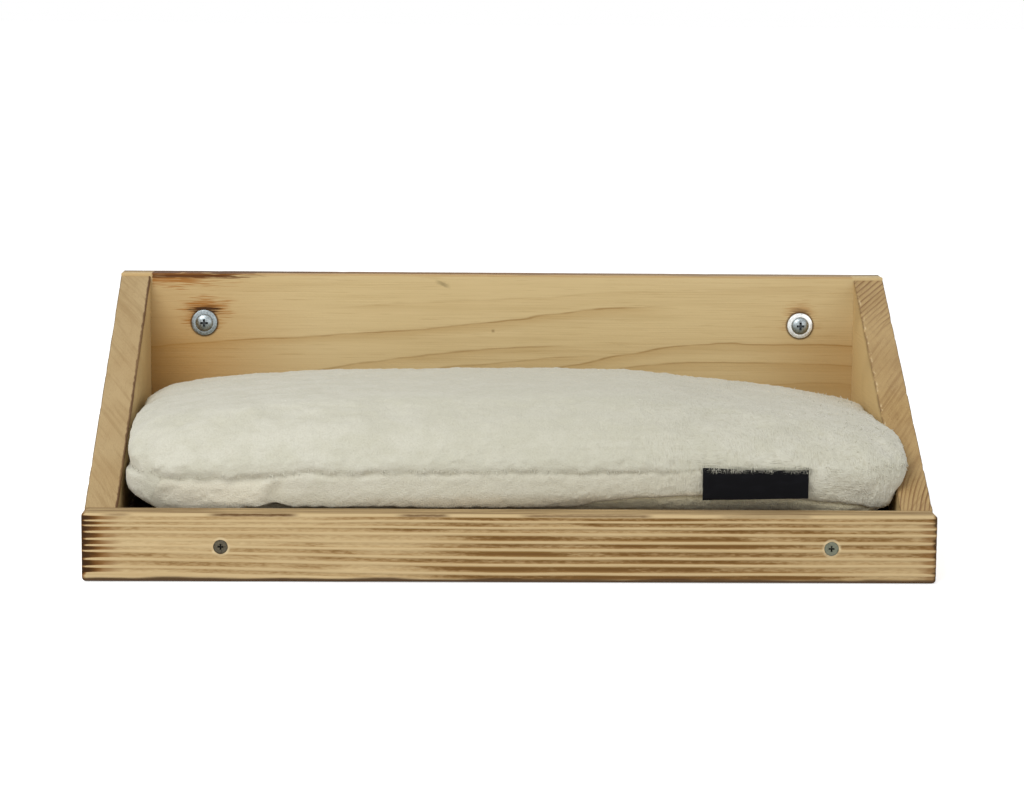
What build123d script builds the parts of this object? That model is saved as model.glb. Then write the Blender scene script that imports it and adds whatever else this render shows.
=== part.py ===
from build123d import *
import math
import os

# Cat wall alcove: a wooden tray with a low back board, two sloping side panels, a front rail and
# a loose cushion. It hangs on two screws through the back board.
# The frame: +X to the right, +Z up, and the part faces -Y. The origin lies on the wall plane,
# halfway between the two wall holes. All sizes are in millimetres.

# Alcove
overall_width = 600.0
overall_depth = 300.0
board_thickness = 23.0
arris_radius = 0.8

# Back board and its wall holes
back_height = 190.0
wall_hole_inset = 65.0
wall_hole_drop = 38.5
wall_hole_radius = 3.3

# Side panels
panel_top_drop = 1.5

# Front rail, with the ridges that brushing leaves on its front
rail_height = 49.0
rail_thickness = 23.0
rail_corner_radius = 3.0
ridge_groove_depth = 0.5
ridge_height_shares = (0.035, 0.125, 0.26, 0.355, 0.48, 0.59, 0.705, 0.80, 0.89, 0.965)
groove_width_share = 0.9

# Floor board, below the top of the rail
floor_drop = 12.5

# Countersunk screws that hold the boards together
screw_length = 60.0
screw_shank_radius = 2.5
screw_head_radius = 5.1
screw_head_rim = 0.5
screw_cone_length = 2.8
screw_tip_length = 7.0
screw_tip_radius = 0.4
screw_head_sink = 0.6
screw_fit = 0.05
rail_screw_left_inset = 97.0
rail_screw_right_inset = 74.6
panel_screw_lower_height = 52.0
panel_screw_upper_height = 132.0
floor_side_screw_inset = 55.0
floor_back_screw_shares = (-0.33, 0.0, 0.33)

# Pan head screws and washers that go to the wall
wall_screw_length = 60.0
wall_screw_neck_radius = 2.2
wall_screw_thread_radius = 3.0
wall_screw_head_radius = 6.9
wall_screw_head_height = 4.0
wall_screw_head_edge = 1.4
wall_thread_start = 1.5
washer_radius = 10.0
washer_hole_radius = 3.2
washer_thickness = 1.6

# Cross recess in every screw head
recess_span = 5.2
recess_width = 1.1
recess_depth = 2.0

# Cushion
cushion_side_gap = 0.6
cushion_floor_gap = 0.6
cushion_height = 89.0
cushion_seam_height = 38.5
cushion_shoulder_reach = 45.0
cushion_shoulder_drop = 3.0
cushion_tuck = 28.0
cover_thickness = 3.0

# Cushion sections from left to right: place along the half length, height of the crown, depth
# of the underside below the seam, and how far front and back are drawn in, of the half depth
cushion_section_shares = (
    (-1.00, 0.64, 0.56, 0.200),
    (-0.95, 0.815, 0.85, 0.080),
    (-0.81, 0.915, 0.96, 0.018),
    (-0.62, 0.956, 0.992, 0.007),
    (-0.42, 0.972, 0.997, 0.006),
    (-0.21, 0.985, 0.997, 0.006),
    (0.00, 1.00, 0.997, 0.006),
    (0.21, 0.998, 0.997, 0.006),
    (0.42, 0.96, 0.997, 0.006),
    (0.62, 0.89, 0.992, 0.006),
    (0.81, 0.83, 0.96, 0.014),
    (0.95, 0.755, 0.87, 0.050),
    (1.00, 0.68, 0.66, 0.120),
)

# Woven label in the front seam
label_width = 75.0
label_height = 20.0
label_thickness = 0.6
label_gap = 0.1
label_right_inset = 65.5

# Places that follow from the sizes above
top_z = wall_hole_drop
bottom_z = top_z - back_height
end_x = overall_width / 2
inner_x = end_x - board_thickness
back_front_y = -board_thickness
rail_front_y = -overall_depth
rail_back_y = rail_front_y + rail_thickness
rail_top_z = bottom_z + rail_height
floor_top_z = rail_top_z - floor_drop
floor_centre_z = floor_top_z - board_thickness / 2
wall_hole_x = end_x - wall_hole_inset
cushion_bulge_radius = (cushion_tuck ** 2 + cushion_seam_height ** 2) / (2 * cushion_seam_height)
cushion_bulge = cushion_bulge_radius - cushion_tuck
seam_z = floor_top_z + cushion_floor_gap + cushion_seam_height


def rounded(solid, radius):
    """The board with all its edges rounded."""
    return fillet(solid.edges(), radius)


def block(low, high):
    """A box between two corners."""
    size = [b - a for a, b in zip(low, high)]
    centre = [(a + b) / 2 for a, b in zip(low, high)]
    return Pos(*centre) * Box(*size)


def turned(outline):
    """A solid of revolution about +Z from a closed outline in the XZ plane."""
    return revolve(make_face(outline), Axis.Z)


def set_in(solid, point, direction):
    """A screw or its hole, its head at a point and its tip in a direction."""
    return Plane(origin=point, z_dir=direction).location * solid


def cross_recess():
    """The cutter for a cross recess, from its mouth down."""
    arm = Pos(0, 0, recess_depth / 2) * Box(recess_span, recess_width, recess_depth)
    return arm + Rot(0, 0, 90) * arm


def countersunk_form(grow):
    """A countersunk screw's outer form, its head face at zero, larger all round by the fit."""
    cone_end = screw_head_rim + screw_cone_length
    points = [
        (0, 0),
        (screw_head_radius + grow, 0),
        (screw_head_radius + grow, screw_head_rim + grow),
        (screw_shank_radius + grow, cone_end + grow),
        (screw_shank_radius + grow, screw_length - screw_tip_length),
        (screw_tip_radius + grow, screw_length + grow),
        (0, screw_length + grow),
    ]
    return turned(Polyline([(radius, 0, height) for radius, height in points], close=True))


def countersunk_screw():
    """A countersunk screw with its recess."""
    return countersunk_form(0) - cross_recess()


def countersunk_hole():
    """The hole that the screw fills, open to the face of the board."""
    mouth = Cylinder(screw_head_radius + screw_fit, screw_head_sink)
    return countersunk_form(screw_fit) + Pos(0, 0, -screw_head_sink / 2) * mouth


def wall_screw():
    """A pan head screw, the seat of its head at zero and its tip up the axis."""
    thread_start = washer_thickness + board_thickness + wall_thread_start
    dome_height = wall_screw_head_height - wall_screw_head_edge
    dome_radius = (wall_screw_head_radius ** 2 + dome_height ** 2) / (2 * dome_height)
    dome_middle_x = wall_screw_head_radius / 2
    dome_middle_drop = dome_radius - math.sqrt(dome_radius ** 2 - dome_middle_x ** 2)
    rim = Vector(wall_screw_head_radius, 0, -wall_screw_head_edge)
    crown = Vector(0, 0, -wall_screw_head_height)
    dome_middle = Vector(dome_middle_x, 0, dome_middle_drop - wall_screw_head_height)
    shank = Polyline(
        crown,
        (0, 0, wall_screw_length),
        (screw_tip_radius, 0, wall_screw_length),
        (wall_screw_thread_radius, 0, wall_screw_length - screw_tip_length),
        (wall_screw_thread_radius, 0, thread_start),
        (wall_screw_neck_radius, 0, thread_start),
        (wall_screw_neck_radius, 0, 0),
        (wall_screw_head_radius, 0, 0),
        rim,
    )
    screw = turned(shank + ThreePointArc(rim, dome_middle, crown))
    return screw - Pos(0, 0, -wall_screw_head_height) * cross_recess()


def washer():
    """A plain washer below the seat of the head."""
    ring = Cylinder(washer_radius, washer_thickness) - Cylinder(washer_hole_radius, washer_thickness)
    return Pos(0, 0, washer_thickness / 2) * ring


def back_board():
    """The board that lies on the wall, with its two wall holes."""
    board = rounded(block((-end_x, back_front_y, bottom_z), (end_x, 0, top_z)), arris_radius)
    for x in (-wall_hole_x, wall_hole_x):
        hole = Cylinder(wall_hole_radius, board_thickness)
        board -= Pos(x, back_front_y / 2, 0) * Rot(90, 0, 0) * hole
    return board


def side_panel(low_x):
    """A side panel, its front edge sloping from the rail up to the back board."""
    outline = Polyline(
        (low_x, back_front_y, bottom_z),
        (low_x, rail_back_y, bottom_z),
        (low_x, rail_back_y, rail_top_z),
        (low_x, back_front_y, top_z - panel_top_drop),
        close=True,
    )
    return rounded(extrude(make_face(outline), board_thickness, dir=(1, 0, 0)), arris_radius)


def front_rail():
    """The rail across the front, with a shallow groove between each pair of ridges."""
    low = (-end_x, rail_front_y, bottom_z)
    rail = rounded(block(low, (end_x, rail_back_y, rail_top_z)), rail_corner_radius)
    for low_share, high_share in zip(ridge_height_shares, ridge_height_shares[1:]):
        half_width = (high_share - low_share) * rail_height * groove_width_share / 2
        radius = (half_width ** 2 + ridge_groove_depth ** 2) / (2 * ridge_groove_depth)
        centre_y = rail_front_y + ridge_groove_depth - radius
        centre_z = bottom_z + rail_height * (low_share + high_share) / 2
        groove = Rot(0, 90, 0) * Cylinder(radius, overall_width)
        rail -= Pos(0, centre_y, centre_z) * groove
    return rail


def floor_board():
    """The board under the cushion, between the panels, the rail and the back board."""
    low = (-inner_x, rail_back_y, floor_top_z - board_thickness)
    return rounded(block(low, (inner_x, back_front_y, floor_top_z)), arris_radius)


def board_screws():
    """Each board screw's head place and direction, and the two boards that it joins."""
    rail_heads = {
        "left": -end_x + rail_screw_left_inset,
        "right": end_x - rail_screw_right_inset,
    }
    panel_heights = {
        "lower": bottom_z + panel_screw_lower_height,
        "upper": bottom_z + panel_screw_upper_height,
    }
    floor_places = {
        "front": rail_back_y + floor_side_screw_inset,
        "rear": back_front_y - floor_side_screw_inset,
    }
    rows = {}
    for side, x in rail_heads.items():
        head = (x, rail_front_y + screw_head_sink, floor_centre_z)
        rows[f"rail_screw_{side}"] = (head, (0, 1, 0), ("front_rail", "floor_board"))
    for side, sign in (("left", -1), ("right", 1)):
        panel = f"{side}_side_panel"
        for level, z in panel_heights.items():
            head = (sign * (end_x - board_thickness / 2), -screw_head_sink, z)
            rows[f"panel_screw_{side}_{level}"] = (head, (0, -1, 0), ("back_board", panel))
        for place, y in floor_places.items():
            head = (sign * (end_x - screw_head_sink), y, floor_centre_z)
            rows[f"floor_screw_{side}_{place}"] = (head, (-sign, 0, 0), (panel, "floor_board"))
    for place, share in zip(("left", "middle", "right"), floor_back_screw_shares):
        head = (share * 2 * inner_x, -screw_head_sink, floor_centre_z)
        rows[f"floor_screw_back_{place}"] = (head, (0, -1, 0), ("back_board", "floor_board"))
    return rows


def cushion_section(x, front, back, crown_z, low_z, upper):
    """A closed face across the cushion at one place, above or below the plane of its seam."""
    seam_front = Vector(x, front, seam_z)
    seam_back = Vector(x, back, seam_z)
    if upper:
        fullness = (crown_z - seam_z) / (cushion_height - cushion_seam_height)
        fall = cushion_shoulder_drop * fullness
        near = Vector(x, front + cushion_shoulder_reach, crown_z - fall)
        far = Vector(x, back - cushion_shoulder_reach, crown_z - fall)
        middle = ThreePointArc(near, Vector(x, (front + back) / 2, crown_z), far)
        front_tangent = -(middle % 0)
        back_tangent = middle % 1
    else:
        tuck = cushion_tuck * (seam_z - low_z) / cushion_seam_height
        near = Vector(x, front + tuck, low_z)
        far = Vector(x, back - tuck, low_z)
        middle = Line(near, far)
        front_tangent = Vector(0, -1, 0)
        back_tangent = Vector(0, 1, 0)
    front_arc = TangentArc(near, seam_front, tangent=front_tangent)
    back_arc = TangentArc(far, seam_back, tangent=back_tangent)
    return make_face([middle, back_arc, Line(seam_back, seam_front), front_arc])


def cushion_half(inset, upper):
    """The cushion above or below its seam, or its filling where inset by the cover."""
    half_length = inner_x - cushion_side_gap - inset
    front = rail_back_y + cushion_side_gap + cushion_bulge + inset
    back = back_front_y - cushion_side_gap - cushion_bulge - inset
    low = floor_top_z + cushion_floor_gap
    sections = []
    for place, crown_share, low_share, draw_share in cushion_section_shares:
        draw = draw_share * (back - front) / 2
        crown_z = low + crown_share * cushion_height - inset
        low_z = seam_z - low_share * cushion_seam_height + inset
        x = place * half_length
        sections.append(cushion_section(x, front + draw, back - draw, crown_z, low_z, upper))
    return loft(sections)


def cushion():
    """The two cover panels, which meet at the seam, and the filling inside them."""
    filling_top = cushion_half(cover_thickness, True)
    filling_bottom = cushion_half(cover_thickness, False)
    return {
        "cushion_top_cover": cushion_half(0, True) - filling_top,
        "cushion_bottom_cover": cushion_half(0, False) - filling_bottom,
        "cushion_filling": filling_top + filling_bottom,
    }


def cushion_label():
    """The label that hangs from the front seam over the lower cover."""
    right = inner_x - cushion_side_gap - label_right_inset
    back = rail_back_y + cushion_side_gap - label_gap
    low = (right - label_width, back - label_thickness, seam_z - label_height)
    return block(low, (right, back, seam_z))


nodes = {
    "back_board": back_board(),
    "left_side_panel": side_panel(-end_x),
    "right_side_panel": side_panel(inner_x),
    "front_rail": front_rail(),
    "floor_board": floor_board(),
}

for name, (head, direction, boards) in board_screws().items():
    nodes[name] = set_in(countersunk_screw(), head, direction)
    for board in boards:
        nodes[board] -= set_in(countersunk_hole(), head, direction)

for side, x in (("left", -wall_hole_x), ("right", wall_hole_x)):
    seat = (x, back_front_y - washer_thickness, 0)
    nodes[f"wall_screw_{side}"] = set_in(wall_screw(), seat, (0, 1, 0))
    nodes[f"wall_washer_{side}"] = set_in(washer(), seat, (0, 1, 0))

nodes.update(cushion())
nodes["cushion_label"] = cushion_label()

os.makedirs("parts", exist_ok=True)
for name, solid in nodes.items():
    export_step(solid, f"parts/{name}.step")
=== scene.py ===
import itertools
import math

import bmesh
import bpy
import numpy as np
from mathutils import Matrix, Vector


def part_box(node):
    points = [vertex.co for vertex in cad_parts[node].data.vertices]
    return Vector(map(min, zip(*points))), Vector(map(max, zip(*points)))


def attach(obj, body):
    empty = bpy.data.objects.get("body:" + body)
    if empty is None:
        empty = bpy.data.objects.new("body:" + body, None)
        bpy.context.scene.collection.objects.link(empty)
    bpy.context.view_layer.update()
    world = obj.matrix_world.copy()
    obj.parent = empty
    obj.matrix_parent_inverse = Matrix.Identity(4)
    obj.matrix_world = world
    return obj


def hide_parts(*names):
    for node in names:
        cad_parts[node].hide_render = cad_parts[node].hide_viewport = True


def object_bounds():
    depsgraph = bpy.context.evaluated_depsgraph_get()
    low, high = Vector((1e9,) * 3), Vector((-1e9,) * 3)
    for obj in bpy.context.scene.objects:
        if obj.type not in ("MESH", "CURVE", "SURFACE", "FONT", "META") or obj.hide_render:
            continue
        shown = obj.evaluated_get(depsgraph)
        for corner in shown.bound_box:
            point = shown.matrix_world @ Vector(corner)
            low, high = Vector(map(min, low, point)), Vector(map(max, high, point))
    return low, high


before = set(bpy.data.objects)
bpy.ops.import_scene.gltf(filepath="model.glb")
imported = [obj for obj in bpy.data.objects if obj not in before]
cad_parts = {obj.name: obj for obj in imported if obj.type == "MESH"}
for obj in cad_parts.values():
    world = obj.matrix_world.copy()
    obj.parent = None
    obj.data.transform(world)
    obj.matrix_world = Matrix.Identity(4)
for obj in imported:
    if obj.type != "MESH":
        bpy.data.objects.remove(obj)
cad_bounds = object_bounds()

MM = 0.001
SIDES = ("left", "right")


# Camera, from the photograph
YAW, PITCH, ROLL = 0.02836, 0.13967, 0.00881
CAMERA_PLACE = (-0.05639, -2.28114, 0.25504)
SENSOR_WIDTH, LENS = 36, 101.2


def add_camera():
    """The camera at the photograph's place and angle."""
    forward = Vector((math.sin(YAW) * math.cos(PITCH), math.cos(YAW) * math.cos(PITCH), -math.sin(PITCH)))
    right = Vector((math.cos(YAW), -math.sin(YAW), 0))
    up = right.cross(forward)
    rolled_right = math.cos(ROLL) * right + math.sin(ROLL) * up
    rolled_up = math.cos(ROLL) * up - math.sin(ROLL) * right
    camera = bpy.data.objects.new("camera", bpy.data.cameras.new("camera"))
    camera.data.sensor_width = SENSOR_WIDTH
    camera.data.lens = LENS
    turn = Matrix((rolled_right, rolled_up, -forward)).transposed()
    camera.matrix_world = Matrix.Translation(CAMERA_PLACE) @ turn.to_4x4()
    bpy.context.scene.collection.objects.link(camera)
    bpy.context.scene.camera = camera


def tone(red, green, blue):
    """A colour as it looks on screen, from 0 to 255, as a shader wants it."""
    parts = [part / 255 for part in (red, green, blue)]
    linear = [part / 12.92 if part < 0.04045 else ((part + 0.055) / 1.055) ** 2.4 for part in parts]
    return (*linear, 1.0)


# Meshes
def share_of(value, low, high):
    """How far a value is on its way from low to high, from 0 to 1."""
    return np.clip((value - low) / (high - low), 0, 1)


def smooth(value, low, high):
    """A soft step from 0 at low to 1 at high."""
    share = share_of(value, low, high)
    return share * share * (3 - 2 * share)


def bump_at(value, middle, reach):
    """A soft hill of height 1 about the middle."""
    return np.exp(-((value - middle) / reach) ** 2)


def noise_at(points, size, seed=0):
    """Smooth noise from -1 to 1 at each point, with lumps of about the size."""
    scaled = points / np.array(size) + 4096.0
    cell = np.floor(scaled).astype(np.int64)
    part = scaled - cell
    fade = part * part * (3 - 2 * part)
    total = np.zeros(len(points))
    for corner in itertools.product((0, 1), repeat=3):
        index = cell + np.array(corner)
        mixed = index[:, 0] * 73856093 ^ index[:, 1] * 19349663 ^ index[:, 2] * 83492791 ^ seed * 2654435
        mixed = (mixed ^ mixed >> 13) * 1274126177 & 0x7FFFFFFF
        mixed = (mixed ^ mixed >> 15) * 668265263 & 0x7FFFFFFF
        value = (mixed >> 7 & 0xFFFF) / 32767.5 - 1
        weight = np.prod(np.where(np.array(corner) == 1, fade, 1 - fade), axis=1)
        total += weight * value
    return total


def make_piece(name, points, faces, body="alcove"):
    """A mesh object from points in millimetres."""
    mesh = bpy.data.meshes.new(name)
    mesh.from_pydata((np.asarray(points) * MM).tolist(), [], [list(face) for face in faces])
    mesh.update()
    piece = bpy.data.objects.new(name, mesh)
    bpy.context.scene.collection.objects.link(piece)
    if body:
        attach(piece, body)
    return piece


def read_points(mesh, field):
    """Three numbers for each point of a mesh: its place in metres, or its normal."""
    flat = np.zeros(len(mesh.vertices) * 3)
    mesh.vertices.foreach_get(field, flat)
    return flat.reshape(-1, 3)


def points_of(piece):
    """The piece's points in millimetres."""
    return read_points(piece.data, "co") / MM


def move_points(piece, points):
    """Puts the piece's points where they are told, in millimetres."""
    piece.data.vertices.foreach_set("co", (points * MM).ravel())
    piece.data.update()


def mark(piece, name, values):
    """Stores one number a point, for the material."""
    attribute = piece.data.attributes.new(name, "FLOAT", "POINT")
    attribute.data.foreach_set("value", values.astype(np.float32))


def bake(piece):
    """Applies the piece's modifiers."""
    graph = bpy.context.evaluated_depsgraph_get()
    shown = piece.evaluated_get(graph)
    mesh = bpy.data.meshes.new_from_object(shown, preserve_all_data_layers=True, depsgraph=graph)
    piece.modifiers.clear()
    piece.data = mesh


def finish_piece(piece, material, slot, *nodes, angle=35):
    """Gives the piece its shading and material, and hides the CAD nodes it stands for. The slot is not used.
    """
    piece.data.materials.clear()
    piece.data.materials.append(material)
    piece.data.shade_smooth()
    if angle:
        piece.data.set_sharp_from_angle(angle=math.radians(angle))
    if nodes:
        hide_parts(*nodes)


def lattice_shell(xs, ys, zs):
    """The outside of a box lattice: its points and its four-sided faces."""
    counts = (len(xs), len(ys), len(zs))
    i, j, k = np.meshgrid(*[np.arange(count) for count in counts], indexing="ij")
    outside = (i % (counts[0] - 1) == 0) | (j % (counts[1] - 1) == 0) | (k % (counts[2] - 1) == 0)
    number = np.full(counts, -1)
    number[outside] = np.arange(outside.sum())
    points = np.stack([np.array(xs)[i], np.array(ys)[j], np.array(zs)[k]], -1)[outside]
    faces = []
    for axis, turned in ((0, True), (1, False), (2, True)):
        for end in (0, -1):
            grid = number.take(end, axis)
            quads = np.stack([grid[:-1, :-1], grid[1:, :-1], grid[1:, 1:], grid[:-1, 1:]], -1).reshape(-1, 4)
            faces.append(quads[:, ::-1] if turned == (end == 0) else quads)
    return points, np.concatenate(faces)


def graded(low, high, radius, step):
    """Places from low to high, close together over the rounding at both ends."""
    near = [0, 0.3 * radius, 0.62 * radius, radius, 1.6 * radius, 2.6 * radius]
    count = max(2, round((high - low - 2 * near[-1]) / step))
    middle = np.linspace(low + near[-1], high - near[-1], count + 1)[1:-1]
    return np.array([low + n for n in near] + list(middle) + [high - n for n in reversed(near)])


def rounded(points, low, high, radius):
    """Points on a box moved on to the same box with rounded edges."""
    core = np.clip(points, low + radius, high - radius)
    out = points - core
    length = np.linalg.norm(out, axis=1, keepdims=True)
    return core + out / np.maximum(length, 1e-9) * np.minimum(length, radius)


def edge_nearness(points, low, high, reach):
    """1 on the edges of a box, falling to 0 at the reach from them."""
    gaps = np.sort(np.minimum(points - low, high - points), axis=1)
    return 1 - smooth(gaps[:, 1], 0, reach)


def node_box(node):
    """A CAD node's corners in millimetres."""
    low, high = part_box(node)
    return np.array(low) / MM, np.array(high) / MM


def lathe(rings, around, closed=False):
    """Points and faces of a turned solid about +Z, from (height, radius or radius by angle) rings."""
    angles = np.linspace(0, 2 * math.pi, around, endpoint=False)
    points, faces = [], []
    for height, radius in rings:
        radii = radius(angles) if callable(radius) else np.full(around, float(radius))
        points += [(r * math.cos(a), r * math.sin(a), height) for r, a in zip(radii, angles)]
    last = (len(rings) - 1) * around
    for start in range(0, last + (around if closed else 0), around):
        after = (start + around) % len(points)
        for n in range(around):
            turned = (n + 1) % around
            faces.append((start + n, start + turned, after + turned, after + n))
    if not closed:
        faces.append(tuple(reversed(range(around))))
        faces.append(tuple(range(last, last + around)))
    return np.array(points), faces


def aimed(points, place, direction):
    """Points about +Z turned to a direction and set at a place."""
    turn = np.array(Vector((0, 0, 1)).rotation_difference(Vector(direction)).to_matrix())
    return np.asarray(points) @ turn.T + np.array(place)


def cut(piece, cutters):
    """Takes the closed forms away from the piece."""
    points, faces = [], []
    for form_points, form_faces in cutters:
        start = len(points)
        points += [tuple(point) for point in form_points]
        faces += [tuple(start + n for n in face) for face in form_faces]
    tool = make_piece("cutter", points, faces, body=None)
    boolean = piece.modifiers.new("cut", "BOOLEAN")
    boolean.operation = "DIFFERENCE"
    boolean.solver = "EXACT"
    boolean.object = tool
    bake(piece)
    bpy.data.objects.remove(tool)


BACK_LOW, BACK_HIGH = node_box("back_board")
PANEL_LOW, PANEL_HIGH = node_box("right_side_panel")
RAIL_LOW, RAIL_HIGH = node_box("front_rail")
LABEL_LOW, LABEL_HIGH = node_box("cushion_label")
SEAM = node_box("cushion_top_cover")[0][2]
FLOOR = node_box("cushion_bottom_cover")[0][2]

# Boards
RAIL_RADIUS = 3.0
ARRIS_RADIUS = 0.55
WORN_REACH = 3.0
RIDGES_LEFT = (0.134, 0.225, 0.331, 0.447, 0.527, 0.621, 0.728, 0.819, 0.888, 0.972)
RIDGES_RIGHT = (0.035, 0.127, 0.261, 0.358, 0.479, 0.588, 0.708, 0.798, 0.890, 0.962)

SCREW_DIRECTIONS = {f"rail_screw_{side}": (0, 1, 0) for side in SIDES}
for screw_side in SIDES:
    SCREW_DIRECTIONS |= {f"panel_screw_{screw_side}_{level}": (0, -1, 0) for level in ("lower", "upper")}
for screw_side, inward in zip(SIDES, (1, -1)):
    SCREW_DIRECTIONS |= {f"floor_screw_{screw_side}_{place}": (inward, 0, 0) for place in ("front", "rear")}
SCREW_DIRECTIONS |= {f"floor_screw_back_{place}": (0, -1, 0) for place in ("left", "middle", "right")}
SCREW_SHANK = 2.5
SCREW_SINK = 0.6
SCREW_FIT = 0.05
WALL_HOLE_RADIUS = 3.3


def screw_head_place(node, direction):
    """The middle of a board screw's head face."""
    low, high = node_box(node)
    middle = (low + high) / 2
    return middle - np.array(direction) * (high - low)[np.argmax(np.abs(direction))] / 2


def pocket(node):
    """The countersunk hole that a board screw sits in."""
    direction = SCREW_DIRECTIONS[node]
    low, high = node_box(node)
    head, shank = (high - low).min() / 2 + SCREW_FIT, SCREW_SHANK + SCREW_FIT
    rings = [(-SCREW_SINK - 0.4, head), (0.5, head), (3.3, shank), ((high - low).max() + 0.2, shank)]
    points, faces = lathe(rings, 48)
    return aimed(points, screw_head_place(node, direction), direction), faces


def wall_hole(node):
    """The hole through the back board for a wall screw."""
    low, high = node_box(node)
    points, faces = lathe([(BACK_LOW[1] - 1, WALL_HOLE_RADIUS), (BACK_HIGH[1] + 1, WALL_HOLE_RADIUS)], 48)
    middle = (low + high) / 2
    return aimed(points, (middle[0], 0, middle[2]), (0, 1, 0)), faces


def touches(node, board):
    """Whether a screw's box reaches into a board's."""
    low, high = node_box(node)
    board_low, board_high = node_box(board)
    return bool(np.all(low < board_high - 0.5) and np.all(high > board_low + 0.5))


def add_board(name, slot, grain, material, wear=0.25, step=6.0, warp=None, seed=1):
    """A board with rounded and slightly worn edges, in the place of its CAD node."""
    low, high = node_box(name)
    steps = [2.0 if axis == grain else step for axis in range(3)]
    places = [graded(low[axis], high[axis], ARRIS_RADIUS, steps[axis]) for axis in range(3)]
    points, faces = lattice_shell(*places)
    near = edge_nearness(points, low, high, WORN_REACH)
    points = rounded(points, low, high, ARRIS_RADIUS)
    middle = (low + high) / 2
    inward = np.sign(middle - points) * (np.abs(points - middle) > (high - low) / 2 - WORN_REACH)
    inward = inward * (np.abs(inward).sum(1, keepdims=True) < 3)
    chips = np.clip(noise_at(points, 9, seed) - 0.25, 0, 1) + 0.25 * noise_at(points, 3, seed + 1) ** 2
    points = points + inward * (near * chips * wear)[:, None]
    if warp:
        points = warp(points, low, high)
    piece = make_piece(name + "_wood", points, faces)
    cutters = [pocket(node) for node in SCREW_DIRECTIONS if touches(node, name)]
    if name == "back_board":
        cutters += [wall_hole(f"wall_screw_{side}") for side in SIDES]
    cut(piece, cutters)
    finish_piece(piece, material, slot, name)


def sloping(points, low, high):
    """Brings the top of a side panel down along its slope, from the back to the rail."""
    drop = (high[2] - RAIL_HIGH[2]) * share_of(points[:, 1], high[1], low[1])
    share = np.clip((points[:, 2] - low[2] - WORN_REACH) / (high[2] - low[2] - 2 * WORN_REACH), 0, 1)
    points[:, 2] -= drop * share
    return points


def ridge_places(x):
    """Heights of the rail's ridges along it, as shares of its height."""
    fall = 1 - smooth(x, -300, 10)
    left = np.array(RIDGES_LEFT)[:, None]
    right = np.array(RIDGES_RIGHT)[:, None]
    count = len(RIDGES_LEFT)
    along = [np.tile(x, count), np.repeat(np.arange(count) * 50.0, len(x)), np.zeros(len(x) * count)]
    wobble = noise_at(np.stack(along, 1), 45, 5).reshape(count, len(x)) * 0.006
    return right + (left - right) * fall + wobble


def add_rail(material):
    """The front rail with the ridges and grooves that brushing has left."""
    low, high = RAIL_LOW, RAIL_HIGH
    xs = graded(low[0], high[0], RAIL_RADIUS, 2.6)
    ys = graded(low[1], high[1], RAIL_RADIUS, 4.0)
    rounding = np.array([0.0, 0.9, 1.9])
    middle = np.arange(low[2] + RAIL_RADIUS, high[2] - RAIL_RADIUS + 0.01, 0.6)
    zs = np.concatenate([low[2] + rounding, middle, high[2] - rounding[::-1]])
    points, faces = lattice_shell(xs, ys, zs)
    height = (points[:, 2] - low[2]) / (high[2] - low[2])
    ridges = ridge_places(points[:, 0])
    groove = np.zeros(len(points))
    for lower, upper in zip(ridges, ridges[1:]):
        share = share_of(height, lower, upper)
        groove += np.sin(math.pi * share) ** 1.6
    groove = np.clip(groove, 0, 1)
    front = smooth(-points[:, 1], -low[1] - 6, -low[1] - 1)
    strength = 0.45 + 0.55 * smooth(points[:, 0], -210, -40)
    depth = 0.75 * strength * (1 + 0.35 * noise_at(points, (60, 20, 6), 9))
    points = rounded(points, low, high, RAIL_RADIUS)
    points[:, 1] += groove * depth * front
    near = edge_nearness(points, low, high, 4)
    points[:, 2] += near * 0.25 * noise_at(points, (40, 8, 8), 3) * np.sign(0.5 - height)
    piece = make_piece("front_rail_wood", points, faces)
    mark(piece, "groove", groove * front)
    cut(piece, [pocket(f"rail_screw_{side}") for side in SIDES])
    finish_piece(piece, material, "brushed_pine", "front_rail", angle=50)


# Screws and washers
PAN_RADIUS, PAN_HEIGHT, PAN_DOME = 6.9, 4.0, 3.0
RECESS_RADIUS = 2.6


def cross_cutter(top, span, width, depth=2.2):
    """The two tapered arms of a cross recess, their mouth at a height and their end below it."""
    forms = []
    for turned in (False, True):
        points = []
        for z, share in ((top - 1, 1.0), (top + depth, 0.45)):
            for x, y in ((-1, -1), (1, -1), (1, 1), (-1, 1)):
                px, py = x * span / 2 * share, y * width / 2
                points.append((-py, px, z) if turned else (px, py, z))
        faces = [(3, 2, 1, 0), (4, 5, 6, 7), (0, 1, 5, 4), (1, 2, 6, 5), (2, 3, 7, 6), (3, 0, 4, 7)]
        forms.append((points, faces))
    return forms


def threaded(start, end, tip, core, crest, pitch):
    """Rings of a thread from start to end that then runs out to the tip."""
    rings = []
    count = int((tip - start) / pitch * 9)
    for n in range(count + 1):
        height = start + (tip - start) * n / count
        taper = 1 - 0.9 * smooth(np.float64(height), end, tip)
        lead = float(smooth(np.float64(height), start, start + pitch))

        def radius(angles, height=height, taper=taper, lead=lead):
            turn = (height / pitch - angles / (2 * math.pi)) % 1
            profile = np.clip(1 - np.abs(turn - 0.5) / 0.3, 0, 1)
            return (core + (crest - core) * profile * lead) * taper + 0.1

        rings.append((height, radius))
    return rings


def pan_head():
    """Rings of a pan head: a dome with a rounded rim and a flat seat."""
    dome = [
        (-PAN_HEIGHT + PAN_DOME * (1 - math.cos(turn)), PAN_RADIUS * math.sin(turn) ** 0.9)
        for turn in np.linspace(0.12, math.pi / 2, 12)
    ]
    return dome + [(-0.7, PAN_RADIUS), (-0.2, PAN_RADIUS - 0.05), (0.0, PAN_RADIUS - 0.3)]


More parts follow.
